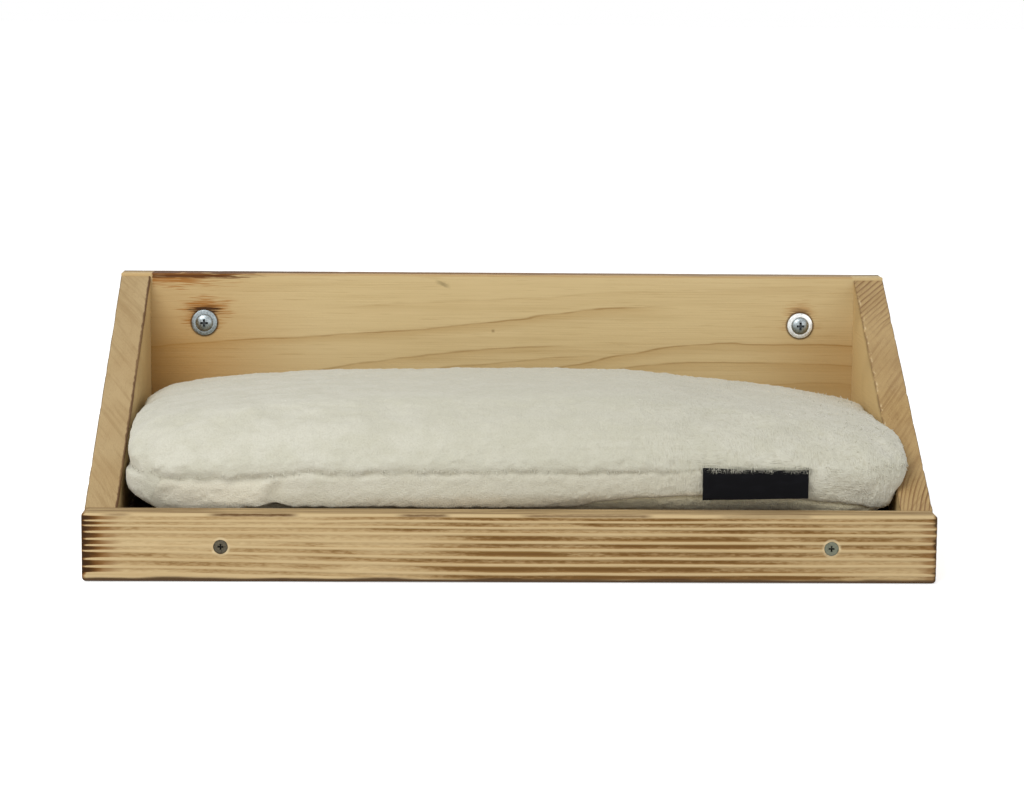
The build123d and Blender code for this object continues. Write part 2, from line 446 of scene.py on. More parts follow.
def flat_head(radius):
    """Rings of a countersunk head."""
    return [(0.0, radius - 0.35), (0.12, radius - 0.08), (0.4, radius), (0.55, radius), (3.2, 2.3)]


def add_screw(node, direction, material, pan=False):
    """A screw with its recess and its thread, in the place of its CAD node."""
    low, high = node_box(node)
    length = (high - low).max()
    if pan:
        thread = threaded(26.1, length - 10.0, length - PAN_HEIGHT, 2.1, 2.9, 2.7)
        points, faces = lathe(pan_head() + [(0.05, 2.2), (25.8, 2.2)] + thread, 48)
        place = (low + high) / 2
        place[1] = low[1] + PAN_HEIGHT
        top = -PAN_HEIGHT
        arms = cross_cutter(top, 8.0, 1.8)
    else:
        thread = threaded(3.4, length - 7, length, 1.7, 2.4, 2.5)
        points, faces = lathe(flat_head((high - low).min() / 2) + thread, 32)
        place = screw_head_place(node, direction)
        top = 0.0
        arms = cross_cutter(top, 5.2, 1.15)
    piece = make_piece(node + "_steel", points, faces)
    for arm in arms:
        cut(piece, [arm])
    x, y, height = points_of(piece).T
    # Marks the recess, where the zinc material paints shade
    inside = (np.hypot(x, y) < RECESS_RADIUS) & (height > top + 1.0) & (height < top + 2.5)
    mark(piece, "recess", inside.astype(float))
    move_points(piece, aimed(points_of(piece), place, direction))
    finish_piece(piece, material, "zinc_steel", node, angle=32)


def add_washer(node, material):
    """A stamped washer: its edges rounded on the front, with a fine burr."""
    low, high = node_box(node)
    middle = (low + high) / 2
    thick = high[1] - low[1]
    outer, inner, soft = (high - low).max() / 2, 3.2, 0.35
    outline = [
        (0.0, inner + soft), (soft * 0.3, inner + soft * 0.3), (soft, inner), (thick, inner),
        (thick, outer - 0.1), (thick - 0.1, outer), (soft, outer), (soft * 0.3, outer - soft * 0.3),
        (0.0, outer - soft), (0.0, (outer + inner) / 2),
    ]
    points, faces = lathe(outline, 72, closed=True)
    piece = make_piece(node + "_steel", aimed(points, (middle[0], low[1], middle[2]), (0, 1, 0)), faces)
    mesh = bmesh.new()
    mesh.from_mesh(piece.data)
    bmesh.ops.recalc_face_normals(mesh, faces=mesh.faces)
    mesh.to_mesh(piece.data)
    mesh.free()
    finish_piece(piece, material, "zinc_steel", node, angle=40)


# Cushion
PLAY = 0.7
OVERHANG = 11.0
FORM_LEFT, FORM_RIGHT = 290.0, 301.0
FORM_MIDDLE, FORM_HALF_DEPTH = -149.5, 129.0
FORM_RISE, FORM_SINK = 44.0, 5.0
FORM_VOXEL = 6.0
SWELL_CAP = 4.0
SWELL_FRAMES = 14
CREST_PLACES = (-276, -262, -250, -234, -196, -134, -65, 12, 89, 120, 151, 182, 213, 245, 266, 277)
CREST_HEIGHTS = (-49, -41, -39, -36.9, -32.6, -28.5, -27.7, -26, -26.5, -29, -33.3, -36.8, -41, -46, -49, -52)
END_HEIGHTS = (-114.5, -108, -103.4, -99, -94.7, -90, -86, -81, -78, -70, -55, -40)
LEFT_END = (236, 250, 260, 268, 274.5, 278.5, 280.5, 281, 276, 274, 275, 280)
RIGHT_END = (247, 260, 273, 284, 290, 292, 292, 292, 292, 291, 291, 291)
FOLD_PLACES = (20, 35, 50, 62, 88, 111, 136, 174, 212, 230, 251, 265)
FOLD_HEIGHTS = (-110, -108, -103, -99.5, -96.6, -94.8, -94.2, -95.4, -97, -98.8, -101.5, -108)
NOTCH_PLACE = -165
FAR_ABOVE = 30.0


def add_cushion(material):
    """The plush cushion: a stuffed form, blown up by simulation, then its seam, ribs and pile."""
    piece = make_piece("cushion_plush", *cushion_form(), body="cushion")
    remesh = piece.modifiers.new("even", "REMESH")
    remesh.mode = "VOXEL"
    remesh.voxel_size = FORM_VOXEL * MM
    bake(piece)
    inflate(piece)
    move_points(piece, settle(level_crest(points_of(piece))))
    subdivide = piece.modifiers.new("fine", "SUBSURF")
    subdivide.levels = 2
    subdivide.render_levels = 2
    bake(piece)
    dress(piece)
    covers = ("cushion_top_cover", "cushion_bottom_cover", "cushion_filling")
    finish_piece(piece, material, "cream_plush", *covers, angle=None)
    return piece


def seam_height(x):
    """The seam wanders up and down a little along the front."""
    wander = 1.2 * np.sin((x + 40) / 62) * smooth(-x, -300, 300) + 2.6 * smooth(x, 70, 150)
    left_drop = 4.6 * (1 - smooth(x, -188, -150)) * (1 - 0.6 * smooth(-x, 248, 274))
    return SEAM + wander - left_drop - 2.4


def cushion_form():
    """Points and faces of a closed pillow, longer than its bed so that its ends press flat."""
    unit, faces = lattice_shell(*[np.linspace(-1, 1, count) for count in (90, 44, 20)])
    size = np.ones(len(unit))
    under = 6.4 - 3.4 * smooth(unit[:, 0], -0.2, 0.3) + 3.0 * smooth(unit[:, 0], 0.7, 0.86)
    power = np.where(unit[:, 2] > 0, 2.5, under)
    for _ in range(60):
        scaled = np.abs(unit) / size[:, None]
        size *= (scaled[:, 0] ** 9 + scaled[:, 1] ** 4.6 + scaled[:, 2] ** power) ** 0.12
    unit = unit / size[:, None]
    x = unit[:, 0] * np.where(unit[:, 0] > 0, FORM_RIGHT, FORM_LEFT)
    y = FORM_MIDDLE + unit[:, 1] * FORM_HALF_DEPTH
    z = SEAM + unit[:, 2] * np.where(unit[:, 2] > 0, FORM_RISE, SEAM - FLOOR + FORM_SINK)
    return np.stack([x, y, z], 1), faces


def pressed(value, limit, reach=9.0):
    """Brings values softly below a limit, as padding that meets a board."""
    start = limit - reach
    beyond = np.maximum(value - start, 0)
    return np.where(value > start, start + reach * (1 - np.exp(-beyond / reach)), value)


def level_crest(points):
    """Scales the upper cover's height so that its crest follows the one in the photograph."""
    points = points.copy()
    x, z = points[:, 0], points[:, 2]
    stations = np.arange(-285.0, 286.0, 10.0)
    highest = np.array([z[np.abs(x - station) < 9].max(initial=SEAM + 5) for station in stations])
    highest = np.convolve(np.pad(highest, 2, mode="edge"), np.ones(5) / 5, mode="valid")
    wanted = sum(np.interp(stations + step, CREST_PLACES, CREST_HEIGHTS) for step in (-10, 0, 10)) / 3
    scale = np.interp(x, stations, (wanted - SEAM) / (highest - SEAM))
    points[:, 2] = np.where(z > SEAM, SEAM + (z - SEAM) * scale, z)
    return points


def inflate(piece):
    """Swells the form like a filled cover, held at its seam. No point moves further than the cap."""
    before = points_of(piece)
    held = piece.vertex_groups.new(name="seam")
    sides = np.abs(before[:, 2] - SEAM) < 3
    held.add([int(n) for n in np.nonzero(sides)[0]], 1.0, "REPLACE")
    cloth = piece.modifiers.new("swell", "CLOTH")
    settings = dict(
        quality=4, mass=0.3, tension_stiffness=12, compression_stiffness=12, bending_stiffness=0.6,
        use_pressure=True, uniform_pressure_force=4.0, shrink_min=-0.015, vertex_group_mass="seam",
    )
    for name, value in settings.items():
        setattr(cloth.settings, name, value)
    cloth.settings.effector_weights.gravity = 0.0
    cloth.point_cache.frame_start = 1
    cloth.point_cache.frame_end = SWELL_FRAMES
    for number in range(1, SWELL_FRAMES + 1):
        bpy.context.scene.frame_set(number)
    graph = bpy.context.evaluated_depsgraph_get()
    moved = read_points(piece.evaluated_get(graph).data, "co") / MM - before
    length = np.linalg.norm(moved, axis=1, keepdims=True)
    piece.modifiers.clear()
    piece.vertex_groups.clear()
    bpy.context.scene.frame_set(1)
    move_points(piece, before + moved * np.minimum(1, SWELL_CAP / np.maximum(length, 1e-9)))


def slope_height(y):
    """The height of the side panels' sloping edge at a depth."""
    share = share_of(y, PANEL_LOW[1], PANEL_HIGH[1])
    return RAIL_HIGH[2] + (PANEL_HIGH[2] - RAIL_HIGH[2]) * share


def right_limit(points):
    """How far right each point may lie: at the panel, or a little over its slope."""
    slope = slope_height(points[:, 1])
    return PANEL_LOW[0] - PLAY + OVERHANG * smooth(points[:, 2], slope + 0.8, slope + 5.5)


def settle(points):
    """Presses the cushion flat where it rests on the floor, the panels, the rail and the back board."""
    points = points.copy()
    right_end = np.interp(points[:, 2], END_HEIGHTS, RIGHT_END)
    left_end = np.interp(points[:, 2], END_HEIGHTS, LEFT_END)
    points[:, 0] = pressed(points[:, 0], np.minimum(right_limit(points), right_end))
    points[:, 0] = -pressed(-points[:, 0], np.minimum(PANEL_LOW[0] - PLAY, left_end))
    corner = smooth(np.abs(points[:, 0]), 195, 225)
    points[:, 1] = pressed(points[:, 1], BACK_LOW[1] - PLAY - 6.5 * corner, 6.0)
    over_rail = smooth(points[:, 2], RAIL_HIGH[2] + 1, RAIL_HIGH[2] + 8)
    points[:, 1] = -pressed(-points[:, 1], -(RAIL_HIGH[1] + PLAY) + 1.6 * over_rail, 4.0)
    points[:, 2] = -pressed(-points[:, 2], -FLOOR, 3.0)
    return points


def dress(piece):
    """Adds the seam's valley, the lower cover's creases, the ribs and the pile to the cushion."""
    points = points_of(piece)
    normals = read_points(piece.data, "normal")
    x, y, z = points.T

    def rough(size, seed):
        return noise_at(points, size, seed)

    side = 1 - smooth(np.abs(normals[:, 2]), 0.75, 0.97)
    line = seam_height(x) + 2.2 * rough((9, 9, 400), 21)
    hidden = np.maximum(smooth(x, 196, 216), 0.85 * smooth(-x, 246, 260))
    covered = (1 - hidden) * (0.75 + 0.5 * rough((14, 14, 400), 30))
    below = z - line
    wide = 2.4 + 2.4 * smooth(-x, 165, 195)
    valley = np.exp(-((below / np.where(below > 0, 3.6, wide)) ** 2)) * side * covered
    notch = smooth(-x, 258, 272) * np.clip(1 - below / 12, 0, 1) * smooth(below, -1.6, -0.2)
    lip = bump_at(z, line + 7.5, 5.5) * side * (1 - hidden)
    tuft = lip * np.clip(rough((5, 5, 4), 22) + 0.1, 0, 1)
    rib = np.abs(np.sin(math.pi * ((y + z) / 11.5 + 0.22 * rough((130, 60, 60), 23)))) ** 0.5
    clear = smooth(rough((90, 30, 30), 24), -0.4, 0.7)
    above = smooth(z, line, line + 10) * (1 - smooth(np.abs(x), 225, 265))
    ribbed = (rib - 0.75) * (0.2 + 0.8 * clear) * above
    tousled = smooth(x, 40, 150)
    pile = 0.26 * rough((4.6, 3.2, 3.2), 25) + 0.28 * rough((2.2, 1.8, 1.8), 26)
    pile += tousled * 0.35 * rough((2.6, 5, 6), 27)
    upper = smooth(z, SEAM - 6, SEAM + 6)
    lumps = 0.7 * rough(42, 28) + (0.1 + 0.2 * upper) * rough(16, 29)
    crease = bump_at(x, -163 + (z - SEAM) * 0.25, 6.5) * (1 - smooth(z, line - 6, line)) * side

    # The fold under the front at the right, and the slot that shadows the rail's top
    fold = z - np.interp(x, FOLD_PLACES, FOLD_HEIGHTS) - 0.8 * rough((18, 400, 400), 31)
    folded = smooth(x, 38, 62) * (1 - smooth(x, 250, 268)) * smooth(-y, 225, 255)
    tucked = (2.7 - 1.0 * smooth(x, 90, 140)) * (1 - smooth(fold, -2.6, 0.8))
    tucked = (tucked + 1.4 * np.exp(-((fold + 1.6) / 1.3) ** 2)) * folded
    rail_top = RAIL_HIGH[2]
    front = smooth(-y, 258, 266) * smooth(x, -192, -178) * (1 - folded)
    brink = rail_top - 1 + 2.8 * bump_at(x, NOTCH_PLACE, 8) + 0.6 * rough((7, 400, 400), 32)
    shadow = smooth(brink - z, -0.6, 1.0) * front

    ragged = upper * (0.5 * rough((9, 7, 7), 33) + 0.35 * rough((4, 4, 4), 34))
    out = -1.9 * valley + 0.9 * lip + 2.0 * tuft + 0.55 * ribbed + pile + lumps + ragged
    out = out - 1.8 * crease - 4.5 * notch - tucked - 6.0 * shadow
    rests = 1 - smooth(z, FLOOR + 0.5, FLOOR + 4)
    moved = points + normals * (out * (1 - rests))[:, None]
    moved[:, 0] = np.maximum(moved[:, 0], PLAY - PANEL_LOW[0])
    moved[:, 2] = np.maximum(moved[:, 2], FLOOR)
    moved[:, 1] = np.clip(moved[:, 1], points[:, 1].min(), points[:, 1].max())
    moved[:, 0] = np.minimum(moved[:, 0], right_limit(moved))
    move_points(piece, moved)

    # Painted shade: darker in the seam's valley, the ribs' hollows, the pile's dips and the crease
    shade_and_tint = 0.16 * valley + 0.25 * (0.75 - rib) * clear * above - 0.35 * pile + 0.4 * crease
    # Painted shadow in the slot above the rail's top, strongest at the notch
    shaded = smooth(z, rail_top - 6, rail_top - 2.5) * (0.3 + 0.7 * bump_at(x, NOTCH_PLACE, 20))
    mark(piece, "shade_and_tint", np.clip(shade_and_tint, 0, 1))
    mark(piece, "tousled", tousled)
    mark(piece, "above_seam", np.where(side > 0.1, below, FAR_ABOVE) + FAR_ABOVE * hidden)
    mark(piece, "gap", shadow * shaded)
    mark(piece, "above_fold", np.where(folded > 0.05, fold / np.maximum(folded, 0.2), FAR_ABOVE))


def tuft_groups(places, normals):
    """Where tufts stand: the places, their count, lift, spread, reach, fall and stoutness."""
    x, y, z = places.T
    side = np.abs(normals[:, 2]) < 0.7
    near_end = (x > 215) & (z > RAIL_HIGH[2])
    off_label = (x < LABEL_LOW[0] - 1) | (x > LABEL_HIGH[0] + 1) | (y > LABEL_HIGH[1] + 10)
    lip = side & (np.abs(z - seam_height(x) - 2.6) < 1.6) & (off_label | (z > LABEL_HIGH[2] + 1))
    over_label = side & ~off_label & (np.abs(z - LABEL_HIGH[2] - 3) < 1.5)
    return (
        (lip, 700, 0.3, 0.55, 3.4, -0.9, 1.0),
        (over_label, 3000, 1.5, 0.45, 4.4, -1.5, 0.85),
        (near_end, 700, 0.35, 0.9, 2.9, 0.0, 1.0),
    )


def add_tufts(cushion, material):
    """Tufts of pile: along the seam's lip, over the label's upper edge, and on the right end."""
    places, normals = points_of(cushion), read_points(cushion.data, "normal")
    chance = np.random.default_rng(17)
    points, faces, tint = [], [], []
    for where, count, lift, spread, reach, fall, stout in tuft_groups(places, normals):
        for spot in chance.choice(np.nonzero(where)[0], count):
            normal = normals[spot]
            root = places[spot] - normal * 0.7
            way = normal * lift + chance.normal(0, spread / 2, 3) + (0, 0, 0.5 * fall)
            way -= normal * min(0.0, float(way @ normal) - 0.12)
            way /= np.linalg.norm(way)
            across = np.cross(way, chance.normal(0, 1, 3))
            across /= np.linalg.norm(across)
            length, width = reach * chance.uniform(0.6, 1.25), stout * chance.uniform(0.35, 0.6)
            bend = normal * -0.14 * length
            start = len(points)
            for share, thick in ((0.0, 1.0), (0.55, 0.75)):
                middle = root + way * length * share + bend * share ** 2
                for turn in (0.0, 2.094, 4.189):
                    out = math.cos(turn) * across + math.sin(turn) * np.cross(way, across)
                    points.append(middle + out * width * thick)
            points.append(root + way * length + bend)
            for n in range(3):
                a, b = start + n, start + (n + 1) % 3
                faces += [(a, b, b + 3, a + 3), (a + 3, b + 3, start + 6)]
            faces.append((start + 2, start + 1, start))
            tint += [chance.uniform(0.0, 0.05)] * 7
    piece = make_piece("cushion_tufts", points, faces, body="cushion")
    # The tufts' small random tint goes where the cushion keeps its painted shade
    marks = dict(shade_and_tint=np.array(tint), tousled=0.4, above_seam=FAR_ABOVE, above_fold=FAR_ABOVE, gap=0)
    for name, value in marks.items():
        mark(piece, name, np.zeros(len(points)) + value)
    finish_piece(piece, material, "cream_plush", angle=80)


def add_label(material):
    """The bare woven label that hangs from the seam, following the cover behind it."""
    low, high, thick = LABEL_LOW, LABEL_HIGH, 0.6
    xs, zs = np.linspace(low[0], high[0], 61), np.linspace(low[2], high[2], 19)
    points, faces = lattice_shell(xs, np.array([0.0, thick]), zs)
    x, y, z = points.T
    hang = (high[2] - z) / (high[2] - low[2])
    bow = 0.5 * np.sin((x - low[0]) / 21) * hang + 0.35 * np.sin((x - low[0]) / 9 + 1) * hang ** 2
    front = high[1] - thick - hang
    tilt = 1.4 * smooth(-x, -(low[0] + 40), -low[0]) * (1 - hang)
    tilt = tilt - 1.6 * hang * (high[0] - x) / (high[0] - low[0])
    placed = np.stack([x, front - y + bow, z + 1.6 + tilt], 1)
    piece = make_piece("label_woven", placed, [face[::-1] for face in faces], body="cushion")
    finish_piece(piece, material, "black_label", "cushion_label", angle=40)


# Materials
class Value:
    """The output of a node. Sums, products and the like of it are nodes in the same tree."""

    def __init__(self, g, socket):
        self.g, self.socket = g, socket

    def __add__(self, other):
        return self.g.math("ADD", self, other)

    def __sub__(self, other):
        return self.g.math("SUBTRACT", self, other)

    def __rsub__(self, other):
        return self.g.math("SUBTRACT", other, self)

    def __mul__(self, other):
        return self.g.math("MULTIPLY", self, other)

    def __truediv__(self, other):
        return self.g.math("DIVIDE", self, other)

    def __abs__(self):
        return self.g.math("ABSOLUTE", self)


class Nodes:
    """A material's nodes and its colour so far. Places in it are in millimetres."""

    def __init__(self, name):
        self.material = bpy.data.materials.new(name)
        self.material.use_nodes = True
        self.tree = self.material.node_tree
        self.tree.nodes.clear()
        self.place = self.vector("MULTIPLY", self.node("TexCoord", out="Object"), (1000, 1000, 1000))
        parts = self.node("SeparateXYZ", self.place).socket.node.outputs
        self.x, self.y, self.z = [Value(self, part) for part in parts]

    def put(self, socket, value):
        """Links a value to a socket, or sets a plain number or colour in it."""
        if isinstance(value, Value):
            self.tree.links.new(value.socket, socket)
        elif value is not None:
            socket.default_value = value

    def node(self, kind, *values, out=0, **settings):
        """Adds a node with its sockets filled in order. None leaves a socket as it is."""
        node = self.tree.nodes.new("ShaderNode" + kind)
        for name, value in settings.items():
            setattr(node, name, value)
        for socket, value in zip(node.inputs, values):
            self.put(socket, value)
        return Value(self, node.outputs[out])

    def named(self, kind, **values):
        """Adds a node with its sockets filled by name."""
        node = self.tree.nodes.new("ShaderNode" + kind)
        for name, value in values.items():
            self.put(node.inputs[name.replace("_", " ").title().replace("Ior", "IOR")], value)
        return Value(self, node.outputs[0])

    def math(self, operation, *values):
        return self.node("Math", *values, operation=operation)

    def vector(self, operation, *values):
        return self.node("VectorMath", *values, operation=operation)

    def joined(self, x, y, z):
        return self.node("CombineXYZ", x, y, z)

    def stored(self, name):
        return self.node("Attribute", out="Fac", attribute_name=name)

    def step(self, value, low, high, start=0, end=1):
        """A soft step between two values, in either direction."""
        return self.node("MapRange", value, low, high, start, end, interpolation_type="SMOOTHSTEP")

    def hill(self, value, middle, reach):
        """1 at the middle, falling softly to 0 at the reach."""
        return self.step(abs(value - middle), reach, 0)

    def distance(self, across, up):
        """The length of a way across and up."""
        return self.math("SQRT", across * across + up * up)

    def curve(self, value, points):
        """A smooth line through points. It holds places from -300 to 300 and heights from -100 to 100."""
        curved = self.node("FloatCurve", None, self.math("MULTIPLY_ADD", value, 1 / 600, 0.5))
        mapping = curved.socket.node.mapping
        line = mapping.curves[0].points
        for number, (place, height) in enumerate(points):
            spot = (place / 600 + 0.5, height / 200 + 0.5)
            if number < 2:
                line[number].location = spot
            else:
                line.new(*spot)
        mapping.update()
        return self.math("MULTIPLY_ADD", curved, 200, -100)

    def noise(self, size, seed=0, detail=2, place=None, rough=0.5):
        """Noise from 0 to 1, its lumps as large as the size along each axis."""
        scaled = self.vector("DIVIDE", place or self.place, size)
        moved = self.vector("ADD", scaled, (seed, seed * 1.7, seed * 0.6))
        return self.named("TexNoise", vector=moved, scale=1, detail=detail, roughness=rough)

    def mix(self, share, first, second):
        """From one colour to another by the share. Plain colours are as they look on screen."""
        colours = [tone(*colour) if isinstance(colour, tuple) else colour for colour in (first, second)]
        return self.node("Mix", share, *[None] * 5, *colours, out=2, data_type="RGBA", clamp_factor=True)

    def coat(self, colour, share):
        """Lays a colour over the one so far, by the share."""
        self.colour = self.mix(share, self.colour, colour)

    def finish(self, height, distance, strength=1, **settings):
        """The shader at the end, with a height as its bump. Settings name its sockets."""
        bump = self.named("Bump", strength=strength, distance=distance * MM, height=height)
        shader = self.named("BsdfPrincipled", base_color=self.colour, normal=bump, **settings)
        output = self.tree.nodes.new("ShaderNodeOutputMaterial")
        self.put(output.inputs[0], shader)
        return self.material


def ringed(g, grain, pith, ring, early, late, wave=5, contrast=1, seed=0, sharp=0.55, uneven=1):
    """Growth rings about a pith line along the grain. Returns the height of the grain."""
    def along_grain(along, across, number, detail=2):
        size = (along, across, across) if grain == 0 else (across, along, across)
        return g.noise(size, seed + number, detail)

    swing = (along_grain(190, 34, 0) - 0.5) * (wave * 2)
    radius = g.distance((g.y if grain == 0 else g.x) - pith[0], g.z - pith[1]) + swing
    change = g.noise((ring * 3, 1, 1), seed + 3, 1, g.joined(radius, 0, 0))
    phase = radius / ring + change * uneven
    saw = g.math("FRACT", phase)
    year = g.noise((1.3, 1, 1), seed + 5, 0, g.joined(g.math("FLOOR", phase), 0, 0))
    rings = g.step(saw, sharp, 0.96) * g.step(saw, 1, 0.965) * g.step(year, 0.32, 0.68, 0.55, 1) * contrast
    fibres = along_grain(70, 0.8, 7, 3)
    g.colour = g.mix(rings, early, late)
    g.coat(late, g.step(fibres, 0.45, 0.75, 0, 0.16))
    g.coat(late, g.step(along_grain(150, 5, 9), 0.45, 0.75, 0, 0.16))
    g.coat(late, g.step(along_grain(38, 1.3, 10, 1), 0.62, 0.74, 0, 0.26))
    g.coat((214, 192, 150), g.step(along_grain(120, 45, 11), 0.35, 0.65, 0, 0.16))
    return fibres * 0.5 + rings * 0.35


# Growth lines on the back board: their points, where each starts and ends, and its weight
GROWTH_LINES = (
    (
        ((-300, -21.5), (-209, -13.9), (-107, -7.8), (-52, -3.5), (0, 2.3), (68, 11.4), (118, 14), (300, 18)),
        -310, 120, 1.0,
    ),
    (
        ((-300, -60), (45, -34.8), (100, -23.5), (156, -15.9), (215, -15.4), (275, -16), (300, -16.6)),
        20, 400, 0.95,
    ),
    (
        ((-300, -90), (70, -43), (95, -35), (156, -29.4), (220, -29.8), (284, -31.9), (300, -32.5)),
        60, 400, 0.8,
    ),
    (((-300, -90), (150, -54), (185, -49.5), (235, -46), (284, -47.2), (300, -48)), 150, 400, 0.6),
    (((-300, -62), (-220, -50), (-140, -36), (-60, -25), (0, -19.5), (60, -17), (300, -20)), -230, 45, 0.75),
    (((-300, -72), (-220, -60), (-140, -47), (-60, -36.5), (0, -31), (60, -26), (300, -30)), -160, 70, 0.6),
    (((-300, 6), (-150, 12), (0, 20), (120, 26), (300, 24)), -120, 200, 0.22),
)


def pine_back():
    """The back board: pale pine with slow lines, scorched along its top and round the washers, with a painted
    shadow ring at each washer's edge.
    """
    g = Nodes("pine_board")
    height = ringed(g, 0, (64.1, 0), 7.3, (204, 181, 134), (150, 118, 64), contrast=0, seed=1)
    for points, start, end, weight in GROWTH_LINES:
        wander = (g.noise((38, 20, 8), 12 + weight) - 0.5) * 4
        gap = g.z - g.curve(g.x, points) + wander
        present = g.step(g.x, start - 25, start + 25) * g.step(g.x, end + 20, end - 30) * weight
        patchy = g.step(g.noise((30, 20, 2.5), 13 + weight), 0.3, 0.6, 0.35, 1)
        g.coat((172, 138, 84), g.step(gap, -9, -0.3) * g.step(gap, 0.5, -0.4) * present * 0.42)
        g.coat((140, 106, 56), g.hill(gap, 0, 1.1) * present * patchy * 0.66)
    g.coat((172, 124, 58), g.step(g.x, -130, -275) * g.step(g.z, 34, -36, 0.35, 1) * 0.76)
    g.coat((172, 126, 62), g.step(g.x, 170, 272) * g.step(g.z, 20, -30, 0.1, 1) * 0.4)
    g.coat((172, 138, 80), g.step(g.z, 6, -62) * g.step(g.x, -60, 200, 0.35, 1) * 0.22)

    # Scorches, on the front half of the board, and a painted shadow ring round each washer
    warm, brown = (160, 104, 42), (70, 42, 16)
    facing = g.step(g.y, -9, -15)
    within = g.step(abs(g.x), 277, 275)
    fine = (g.noise((20, 30, 0.55), 17) - 0.5) * 2.6
    corner = g.step(g.x, -165, -262) * within
    flame = g.step(g.noise((34, 30, 1.5), 15), 0.25, 0.5)
    top_left = g.step(g.step(g.z, 20, 37) * corner + fine, 0.4, 0.8)
    g.coat(warm, top_left * flame * corner * facing * 0.9)
    top_edge = g.step(g.z, 32, 36.8) * g.step(g.x, -166, -226) * within
    g.coat((88, 50, 18), g.step(top_edge + fine, 0.5, 0.72) * top_edge)
    for x, reach, weight in ((-235, 27, 1), (234, 17, 0.5)):
        for colour, area, ragged, clear, share in (
            (warm, g.hill(g.x, x + 1, reach * 1.25) * g.hill(g.z, 11, 16), (0.34, 0.8), (0.02, 0.35), 0.9),
            (brown, g.hill(g.x, x + 1, reach * 0.8) * g.hill(g.z, 9.6, 6.5), (0.34, 0.75), (0.05, 0.4), 1),
            (warm, g.hill(g.x, x, 26) * g.hill(g.z, 0.5, 10), (0.4, 0.75), (0.02, 0.3), 0.9),
        ):
            g.coat(colour, g.step(area + fine, *ragged) * g.step(area, *clear) * facing * (share * weight))
    # Painted shadow: a dark ring on the board at each washer's edge
    for x in (-235, 235):
        g.coat((66, 44, 24), g.hill(g.distance(g.x - x, g.z), 10.3, 1.7) * facing * 0.75)

    # A small knot and a dot
    knot = abs((g.x - -47.5) * 0.35 + (g.z - 31.4)) + g.noise((3, 3, 2), 19) * 3
    g.coat((132, 116, 80), g.hill(g.x, -47.5, 7.5) * g.step(knot, 4.2, 2.2) * 0.6)
    g.coat((132, 108, 70), g.hill(g.x, -7.8, 2) * g.hill(g.z, -5.6, 2) * 0.75)

    # The top arris and the top face
    edge = g.z - g.noise((34, 9, 1.2), 18) * 1.6
    g.coat(warm, g.step(edge, 35.9, 37.2) * within * 0.35)
    g.coat((72, 50, 28), g.step(edge, 37.6, 38.1) * within * g.step(g.x, -120, -190, 0.3, 0.9))
    top_tone = g.mix(g.step(g.x, -200, -90), (84, 54, 22), (122, 86, 40))
    top_tone = g.mix(g.step(g.x, -60, 240), top_tone, (150, 128, 98))
    g.coat(top_tone, g.step(g.z, 38.1, 38.45) * within * g.step(g.y + fine * 2, -17, -12))
    g.coat((92, 74, 52), g.step(g.z, 37.9, 38.3) * (1 - within) * g.step(g.y, -12, -6) * 0.8)
    return g.finish(height, 0.3, roughness=0.66, specular_ior_level=0.16)


def slope_above(g):
    """How far a place is above the line of the side panels' slope."""
    rate = float((PANEL_HIGH[2] - RAIL_HIGH[2]) / (PANEL_HIGH[1] - PANEL_LOW[1]))
    return g.z - ((g.y - float(PANEL_LOW[1])) * rate + float(RAIL_HIGH[2]))


def pine_panel(side, pith, ring, contrast, early, late, burnt, lean, seed):
    """A side panel: grain towards the back, rings cut across on the slope, a burnt inner edge, and painted
    light on its inner face.
    """
    g = Nodes("pine_panel_" + side)
    above = slope_above(g)
    on_slope = g.step(above, -1.4, -0.5)
    off_slope = 1 - on_slope
    ends = g.step(g.z, -2, 18) + g.step(g.z, -72, -96) + 0.1
    strength = (on_slope * ends + off_slope * 0.25) * contrast
    height = ringed(
        g, 1, pith, ring, early, late, wave=1.6, contrast=strength, seed=seed, sharp=0.42, uneven=0.8
    )
    slanted = g.noise((3.6, 1, 40), seed + 26, 3, g.joined(g.x + g.y * lean, 0, g.y))
    g.coat(late, on_slope * g.step(slanted, 0.45, 0.7, 0, 0.34))
    inner = float(PANEL_LOW[0])
    aside = abs(g.x)
    # Painted light: the inner face lighter
    g.coat((216, 187, 132), off_slope * g.step(aside, inner + 3, inner + 0.5) * 0.85)
    inner_edge = aside - inner + g.noise((3, 7, 7), seed + 20, 3) * 2.2
    chipped = g.step(g.noise((4, 6, 6), seed + 25, 1), 0.55, 0.66) * (1 - burnt)
    g.coat((228, 205, 160), g.hill(inner_edge, 2.4, 1.3) * g.step(above, -1.2, -0.6) * chipped)
    patches = g.step(g.noise((30, 26, 14), seed + 21), 0.3, 0.6, 0.45, 1)
    g.coat((126, 88, 44), g.step(above, -7, -2) * off_slope * patches * burnt)
    broken = g.step(g.noise((20, 9, 9), seed + 24), 0.6 - burnt * 0.5, 0.68 - burnt * 0.5)
    line = g.step(inner_edge, 2 + burnt, 1 + burnt) * g.step(above, -1.8, -1) * broken
    g.coat((84, 54, 26), line * burnt)
    g.coat((104, 90, 70), g.step(aside, 299, 299.6) * g.step(above, -2.2, -0.8) * 0.7)
    g.coat((160, 130, 86), g.step(g.noise((60, 60, 40), seed + 22, 1), 0.45, 0.7) * 0.3)
    return g.finish(height, 0.45, roughness=0.66, specular_ior_level=0.3)


# Burnt stretches of the rail's top arris: start, end and weight
BURNT_ARRIS = ((-290, -262, 0.5), (-216, -146, 0.95), (-84, -40, 0.85), (2, 102, 0.7), (140, 215, 0.35))


